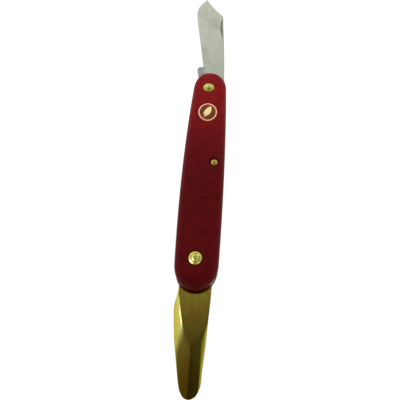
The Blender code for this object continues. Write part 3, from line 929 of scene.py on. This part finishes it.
def make_badge():
    """A plain oval badge: a raised rim, a dark field and one slanted leaf on a short stem."""
    low = HANDLE_THICKNESS - BADGE_DEPTH + SEAT
    field_z = HANDLE_THICKNESS - FIELD_DROP
    field = skin("field", [oval(FIELD_INSET, low), oval(FIELD_INSET, field_z)])
    profile = [(inset, HANDLE_THICKNESS - drop) for inset, drop in RIM_TOP]
    profile = [(RIM_TOP[0][0], low), *profile, (RIM_TOP[-1][0], low)]
    rim = skin("rim", [oval(inset, z) for inset, z in profile], looped=True)
    pieces = [(rim, badge_rim), (field, badge_field)]
    middle = Vector((0.0, BADGE_Y))
    top = HANDLE_THICKNESS - LEAF_DROP
    for root, tip, width in LEAVES:
        rings = leaf_rings(middle + Vector(root), middle + Vector(tip), width, field_z - LEAF_SINK, top)
        pieces.append((skin("leaf", rings), badge_leaf))
    piece = joined("badge_inlay", pieces)
    soft_shade(piece, 50)
    return fit(piece, "handle", "badge_enamel", ["badge"])


def finish_node(name, material, width):
    """Ease the edges of one of the frame's own nodes and give it a finish."""
    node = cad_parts[name]
    weld = node.modifiers.new("weld", "WELD")
    weld.merge_threshold = 0.001 * MM
    eased(node, width, 50)
    normals = node.modifiers.new("weighted_normals", "WEIGHTED_NORMAL")
    normals.keep_sharp = True
    node.data.materials.clear()
    node.data.materials.append(material)


# ---------------------------------------------------------------- the tools


def tang_outline():
    """The tang round the pivot, from the spring's flat to the flat that meets it when folded."""
    inner = TANG_HALF - TANG_ROUNDING
    edge_inner = inner * (1 - math.sin(FOLD_LEAN)) / math.cos(FOLD_LEAN)
    back = arc((inner, -inner), TANG_ROUNDING, 0, -90, TANG_STEPS)
    turn = -180 + math.degrees(FOLD_LEAN)
    edge = arc((-edge_inner, -inner), TANG_ROUNDING, -90, turn, TANG_STEPS)
    flat_x = -(TANG_HALF + TANG_FLAT_END * math.sin(FOLD_LEAN)) / math.cos(FOLD_LEAN)
    return [(TANG_HALF, TANG_SHOULDER), *back, *edge, (flat_x, TANG_FLAT_END)]


def blade_outline():
    """The blade, from its pivot: spine, tang, kick, edge and clipped point, clockwise."""
    spine = smooth([BLADE_CORNER, *BLADE_SPINE, (BLADE_BACK_X, TANG_SHOULDER)], BLADE_STEPS)
    heel = smooth([*BLADE_KICK, BLADE_EDGE_HEEL], BLADE_STEPS)
    edge = smooth([*BLADE_EDGE, BLADE_TIP], EDGE_STEPS)
    clip = bowed_line(BLADE_TIP, BLADE_CORNER, -BLADE_CLIP_HOLLOW, CLIP_STEPS)
    return spine + tang_outline() + heel + edge + clip


def make_nick():
    """The cutter of the nail nick, a lens-shaped groove along the spine."""
    outline = [NICK_LOW, *bowed_line(NICK_LOW, NICK_HIGH, NICK_WIDTH, NICK_STEPS), NICK_HIGH]
    outline = list(reversed(moved(outline, BLADE_PIVOT)))
    rings = [lift(outline, TANG_HIGH - NICK_DEPTH), lift(outline, TANG_HIGH + FAR / 10)]
    cutter = skin("nick_cutter", rings)
    cutter.data.materials.append(nick_steel)
    return cutter


def make_blade():
    """The budding blade, ground from both faces, with a soft line where the grind starts."""
    outline = list(reversed(moved(blade_outline(), BLADE_PIVOT)))
    piece = skin("budding_blade", [lift(outline, TANG_LOW), lift(outline, TANG_HIGH)])
    piece.data.materials.append(tang_steel)
    corner = BLADE_PIVOT + Vector((*BLADE_CORNER, 0.0))
    run = Vector((BLADE_BACK_X - BLADE_CORNER[0], TANG_SHOULDER - BLADE_CORNER[1], 0.0))
    to_edge = Vector((run.y, -run.x, 0.0)).normalized()
    spine = corner - to_edge * GRIND_OFFSET
    grind = GRIND_DROP / (BLADE_CORNER[0] - BLADE_EDGE[-2][0])
    beyond = Vector((0.0, PIVOT_Y + GRIND_START, 0.0))
    far_back = TANG_HIGH - BLADE_FAR_THICKNESS

    front = half_space("grind", spine + UP * TANG_HIGH, UP + to_edge * grind, ground_steel)
    plunge_spot = beyond + UP * TANG_HIGH
    plunge = half_space("plunge", plunge_spot, ALONG + UP * PLUNGE, ground_steel)
    cut(piece, cut(front, plunge, "INTERSECT"))

    back = half_space("grind", spine + UP * far_back, -UP + to_edge * grind, ground_steel)
    slope = (far_back - TANG_LOW) / (TAPER_END - GRIND_START)
    taper = half_space("taper", beyond + UP * TANG_LOW, ALONG * slope - UP, ground_steel)
    cut(piece, cut(back, taper, "INTERSECT"))

    heel = BLADE_PIVOT + Vector((*BLADE_EDGE_HEEL, TANG_HIGH - GRIND_DROP - EDGE_THICKNESS))
    edge_run = Vector((*BLADE_EDGE[0], 0.0)) - Vector((*BLADE_EDGE_HEEL, 0.0))
    outwards = Vector((-edge_run.y, edge_run.x, 0.0)).normalized()
    bevel = half_space("edge", heel, outwards * EDGE_BEVEL_SLOPE - UP, ground_steel)
    ricasso = half_space("ricasso", beyond, ALONG, ground_steel)
    cut(piece, cut(bevel, ricasso, "INTERSECT"))

    cut(piece, make_nick())
    cut(piece, bore_cutter(PIVOT_X, PIVOT_Y, HANDLE_THICKNESS, PIN_SIDES))
    bevel = eased(piece, BLADE_EASE, 25)
    bevel.miter_outer = "MITER_ARC"
    bevel.use_clamp_overlap = True
    settle(piece)
    soft_shade(piece, 40)
    return fit(piece, "blade", "blade_steel", ["blade"])


def plane_height(a, b, c):
    """The height of the plane through three points, as a function of x and y."""
    normal = (b - a).cross(c - a)

    def height(x, y):
        return a.z - (normal.x * (x - a.x) + normal.y * (y - a.y)) / normal.z

    return height


def soft_min(first, second, blend):
    """The lower of two heights, rounded where they cross."""
    overlap = max(blend - abs(first - second), 0.0) / blend
    return min(first, second) - overlap * overlap * blend / 4


def lifter_height():
    """The height of the lifter's front face: flat, bevel, two tip facets and a narrow edge."""
    back = lifter_sides()[0]

    def spot(point, z=LIFTER_FACE):
        return Vector((*point, z))

    tip = spot(RIDGE_END, TANG_LOW + TIP_THICKNESS)
    start = spot(RIDGE_START)
    left = plane_height(spot(FACET_CORNER), start, tip)
    right = plane_height(spot(FACET_BACK), start, tip)
    run = (spot(FACET_CORNER) - spot(BEVEL_TOP)).normalized()
    to_edge = Vector((run.y, -run.x, 0.0))

    def height(x, y):
        away = to_edge @ (Vector((x, y, 0.0)) - spot(FACET_CORNER, 0.0))
        z = soft_min(LIFTER_FACE, LIFTER_FACE - BEVEL_SLOPE * away, CREASE_BLEND)
        facets = soft_min(left(x, y), right(x, y), RIDGE_BLEND)
        z = soft_min(z, facets, FACET_BLEND)
        line = at_y(SLIVER, y)
        beyond = max(x - line, 0.0) / max(at_y(back, y) - line, SLIVER_LEAST)
        z -= SLIVER_DROP * beyond * beyond
        return max(z, TANG_LOW + TIP_LEAST)

    return height


def lifter_sides():
    """The tongue's back and edge as curves from the shoulder to the tip's end."""
    back = smooth([(LIFTER_BACK_X, -TANG_SHOULDER), *LIFTER_BACK, *LIFTER_TIP[:3]], LIFTER_STEPS)
    edge = smooth([*LIFTER_TIP[2:], *LIFTER_EDGE], LIFTER_STEPS)
    return back, list(reversed(edge))


def at_y(curve, y):
    """The x of a curve that runs towards -Y, where it reaches y."""
    for (x0, y0), (x1, y1) in zip(curve, curve[1:]):
        if y1 <= y <= y0:
            return x0 + (x1 - x0) * (y - y0) / (y1 - y0 or 1.0)
    return curve[-1][0] if y < curve[-1][1] else curve[0][0]


def make_tongue():
    """The lifter's tongue: a grid of points whose height rounds one facet into the next."""
    back, edge = lifter_sides()
    height = lifter_height()
    end_y = LIFTER_TIP[2][1]
    drop = end_y + TONGUE_END_GAP - TONGUE_TOP_Y
    points = []
    for row in range(TONGUE_ROWS + 1):
        share = 1 - (1 - row / TONGUE_ROWS) ** TONGUE_CROWDING
        y = TONGUE_TOP_Y + drop * share
        left, right = at_y(edge, y), at_y(back, y)
        points.append((left, y, TANG_LOW))
        for column in range(TONGUE_COLUMNS + 1):
            x = left + (right - left) * (column / TONGUE_COLUMNS)
            away = max(min(x - left, right - x, (y - end_y) * 2), 0.0)
            z = height(x, y)
            if away < TONGUE_EASE:
                rounding = 1 - math.sqrt(1 - (1 - away / TONGUE_EASE) ** 2)
                z -= TONGUE_EASE * rounding * TONGUE_EASE_SHARE
            points.append((x, y, z))
        points.append((right, y, TANG_LOW))
    width = TONGUE_COLUMNS + 3
    faces = []
    for row in range(TONGUE_ROWS):
        low = row * width
        for i in range(width - 1):
            faces.append((low + i, low + width + i, low + width + i + 1, low + i + 1))
        faces.append((low, low + width - 1, low + 2 * width - 1, low + width))
    faces.append(tuple(range(width)))
    faces.append(tuple(reversed(range(TONGUE_ROWS * width, (TONGUE_ROWS + 1) * width))))
    points = [(x + LIFTER_PIVOT.x, y + LIFTER_PIVOT.y, z) for x, y, z in points]
    return mesh_piece("tongue", points, faces)


def make_bark_lifter():
    """The brass bark lifter: a full tang that steps down to the thin tongue."""
    back, edge = lifter_sides()
    shoulder = [p for p in back if p[1] > HEEL_JOIN_Y] + [(at_y(back, HEEL_JOIN_Y), HEEL_JOIN_Y)]
    heel = [(at_y(edge, HEEL_JOIN_Y), HEEL_JOIN_Y)]
    heel += [p for p in reversed(edge) if p[1] > HEEL_JOIN_Y]
    outline = shoulder + heel + [(x, -y) for x, y in reversed(tang_outline())]
    outline = moved(outline, LIFTER_PIVOT)
    area = sum(
        x0 * y1 - x1 * y0 for (x0, y0), (x1, y1) in zip(outline, outline[1:] + outline[:1])
    )
    if area < 0:
        outline.reverse()
    piece = skin("brass_bark_lifter", [lift(outline, TANG_LOW), lift(outline, TANG_HIGH)])
    piece.data.materials.append(lifter_brass)
    rise = (TANG_HIGH - LIFTER_FACE) / (STEP_END - STEP_START)
    face_spot = LIFTER_PIVOT + UP * (LIFTER_FACE - FACE_OVERLAP)
    face = half_space("face", face_spot, UP, lifter_brass)
    ramp_spot = LIFTER_PIVOT + Vector((0.0, -STEP_START, TANG_HIGH))
    ramp = half_space("ramp", ramp_spot, UP - ALONG * rise, lifter_brass)
    cut(piece, cut(face, ramp, "INTERSECT"))
    cut(piece, bore_cutter(PIVOT_X, -PIVOT_Y, HANDLE_THICKNESS, PIN_SIDES))
    tongue = make_tongue()
    tongue.data.materials.append(lifter_brass)
    cut(piece, tongue, "UNION")
    soft_shade(piece, 35)
    return fit(piece, "bark_lifter", "lifter_brass", ["bark_lifter"])


make_scale("front_nylon_scale", True)
make_scale("back_nylon_scale", False)
make_badge()
make_pin("spring_rivet", "spring_pin", SPRING_PIN_X, SPRING_PIN_Y, SPRING_PIN_ENDS)
low_rivets = []
for label, y in (("blade", PIVOT_Y), ("lifter", -PIVOT_Y)):
    rivet = [make_pin(f"{label}_rivet", f"{label}_pivot_pin", PIVOT_X, y, PIVOT_PIN_ENDS)]
    for side, is_front in (("front", True), ("back", False)):
        node_name = f"{label}_pivot_rosette_{side}"
        rivet.append(make_rosette(f"{label}_collar_{side}", node_name, y, is_front))
    if y < 0:
        low_rivets += rivet
make_blade()
make_bark_lifter()
finish_node("front_liner", liner_brass, 0.06)
finish_node("back_liner", liner_brass, 0.06)
finish_node("back_spring", spring_steel, 0.1)


# ---------------------------------------------------------------- table, light and camera


TABLE_CORNERS = ((-1, -1), (1, -1), (1, 1), (-1, 1))
TABLE_REACH = 3000.0
TABLE_DROP = 0.02


def make_table():
    """A plain white table top."""
    corners = [(x * TABLE_REACH, y * TABLE_REACH, -TABLE_DROP) for x, y in TABLE_CORNERS]
    table = mesh_piece("table", corners, [(0, 1, 2, 3)])
    table.data.materials.append(floor_material())


# The studio's light by direction: a position from -1 to 1 along the axis, and a colour
LENGTHWISE_RAMP = (
    (-1.0, (0.46, 0.45, 0.43)),
    (-0.75, (0.36, 0.35, 0.33)),
    (-0.5, (0.08, 0.075, 0.065)),
    (-0.25, (0.028, 0.023, 0.018)),
    (-0.07, (0.035, 0.029, 0.022)),
    (0.06, (0.070, 0.058, 0.044)),
    (0.13, (0.125, 0.102, 0.072)),
    (0.2, (0.27, 0.22, 0.155)),
    (0.32, (0.13, 0.12, 0.10)),
    (0.56, (0.14, 0.14, 0.13)),
    (0.65, (0.54, 0.56, 0.53)),
    (0.75, (0.84, 0.86, 0.83)),
    (0.85, (0.94, 0.95, 0.95)),
    (1.0, (0.88, 0.89, 0.89)),
)
CROSSWISE_RAMP = (
    (-1.0, (0.84, 0.86, 0.90)),
    (-0.62, (0.74, 0.78, 0.86)),
    (-0.47, (0.54, 0.61, 0.78)),
    (-0.43, (0.80, 0.88, 1.00)),
    (-0.40, (0.62, 0.68, 0.76)),
    (-0.36, (0.40, 0.40, 0.38)),
    (-0.32, (0.16, 0.13, 0.09)),
    (-0.28, (0.120, 0.085, 0.036)),
    (-0.24, (0.092, 0.060, 0.022)),
    (-0.17, (0.052, 0.036, 0.020)),
    (-0.06, (0.022, 0.017, 0.013)),
    (0.01, (0.0, 0.0, 0.0)),
    (0.10, (0.011, 0.012, 0.007)),
    (0.17, (0.048, 0.054, 0.024)),
    (0.27, (0.13, 0.145, 0.066)),
    (0.42, (0.26, 0.29, 0.17)),
    (0.60, (0.60, 0.63, 0.60)),
    (1.0, (0.58, 0.60, 0.62)),
)


def light_ramp(shader, value, stops):
    """A colour for each direction, read along one axis from -1 to 1."""
    ramp = shader.node("ShaderNodeValToRGB", {0: shader.remap_linear(value, -1.0, 1.0)})
    elements = ramp.color_ramp.elements
    while len(elements) < len(stops):
        elements.new(0.5)
    for element, (position, colour) in zip(elements, stops):
        element.position = (position + 1) / 2
        element.color = (*colour, 1.0)
    return ramp.outputs[0]


def make_world():
    """A studio that is bright towards the blade's end and both sides, and dim overhead."""
    world = bpy.data.worlds.new("studio")
    world.use_nodes = True
    bpy.context.scene.world = world
    shader = Shader(world.node_tree)
    way = shader.node("ShaderNodeTexCoord").outputs["Generated"]
    split = shader.node("ShaderNodeSeparateXYZ", {"Vector": way})
    across = light_ramp(shader, split.outputs[0], CROSSWISE_RAMP)
    along = light_ramp(shader, split.outputs[1], LENGTHWISE_RAMP)
    total = shader.node("ShaderNodeVectorMath", {0: across, 1: along}, operation="ADD")
    background = shader.node(
        "ShaderNodeBackground", {"Color": total.outputs[0], "Strength": 1.0}
    )
    shader.node("ShaderNodeOutputWorld", {"Surface": background.outputs[0]})


def make_light(name, spot, target, width, height, power, colour=WHITE, pieces=()):
    """A soft rectangular light aimed at target, for highlights on metal or on given pieces only."""
    light = bpy.data.lights.new(name, "AREA")
    light.shape = "RECTANGLE"
    light.size = width * MM
    light.size_y = height * MM
    light.energy = power
    light.color = colour
    lamp = bpy.data.objects.new(name, light)
    lamp.location = Vector(spot) * MM
    aim = Vector(target) - Vector(spot)
    lamp.rotation_euler = aim.to_track_quat("-Z", "Y").to_euler()
    lamp.visible_diffuse = False
    bpy.context.scene.collection.objects.link(lamp)
    if pieces:
        lit = bpy.data.collections.new(name)
        for piece in pieces:
            lit.objects.link(piece)
        lamp.light_linking.receiver_collection = lit


SPOT_PLACE = (0.0, 110.0, 260.0)
SPOT_CONE = math.radians(48)
SPOT_BLEND = 0.45
SPOT_RADIUS = 20.0
SPOT_POWER = 2.6
SPOT_COLOUR = (1.0, 0.93, 0.82)


def make_spot():
    """A wide soft spot over the blade, whose edge crosses the upper half of the handle."""
    light = bpy.data.lights.new("top_spot", "SPOT")
    light.spot_size = SPOT_CONE
    light.spot_blend = SPOT_BLEND
    light.shadow_soft_size = SPOT_RADIUS * MM
    light.energy = SPOT_POWER
    light.color = SPOT_COLOUR
    lamp = bpy.data.objects.new("top_spot", light)
    lamp.location = Vector(SPOT_PLACE) * MM
    lamp.visible_glossy = False
    bpy.context.scene.collection.objects.link(lamp)


CAMERA_SPOT = (3.68, -74.46, 123.49)
CAMERA_TILT = math.radians(27)
CAMERA_TURN = math.radians(4.01)
CAMERA_LENS = 30.48
CAMERA_SENSOR = 36.0


def make_camera():
    """The camera, above the bark lifter and looking along the knife."""
    camera = bpy.data.cameras.new("camera")
    camera.lens = CAMERA_LENS
    camera.sensor_width = CAMERA_SENSOR
    camera.clip_start = 1.0 * MM
    camera.clip_end = 20.0
    holder = bpy.data.objects.new("camera", camera)
    holder.location = Vector(CAMERA_SPOT) * MM
    holder.rotation_euler = (CAMERA_TILT, 0.0, CAMERA_TURN)
    bpy.context.scene.collection.objects.link(holder)
    bpy.context.scene.camera = holder


LOW_RIVET = (0.0, -40.0, 11.0)
CREASE = (-4.4, -55.6, 5.5)

make_table()
make_world()
make_spot()
make_light("left_box", (-225.0, -190.0, 150.0), LOW_RIVET, 140.0, 140.0, 1.0, pieces=low_rivets)
make_light("crease_strip", (-338.0, 10.0, 940.0), CREASE, 45.0, 160.0, 0.26, COOL)
make_light("right_box", (140.0, -230.0, 150.0), LOW_RIVET, 30.0, 60.0, 0.05, pieces=low_rivets)
make_camera()
bpy.context.scene.view_settings.view_transform = "Standard"
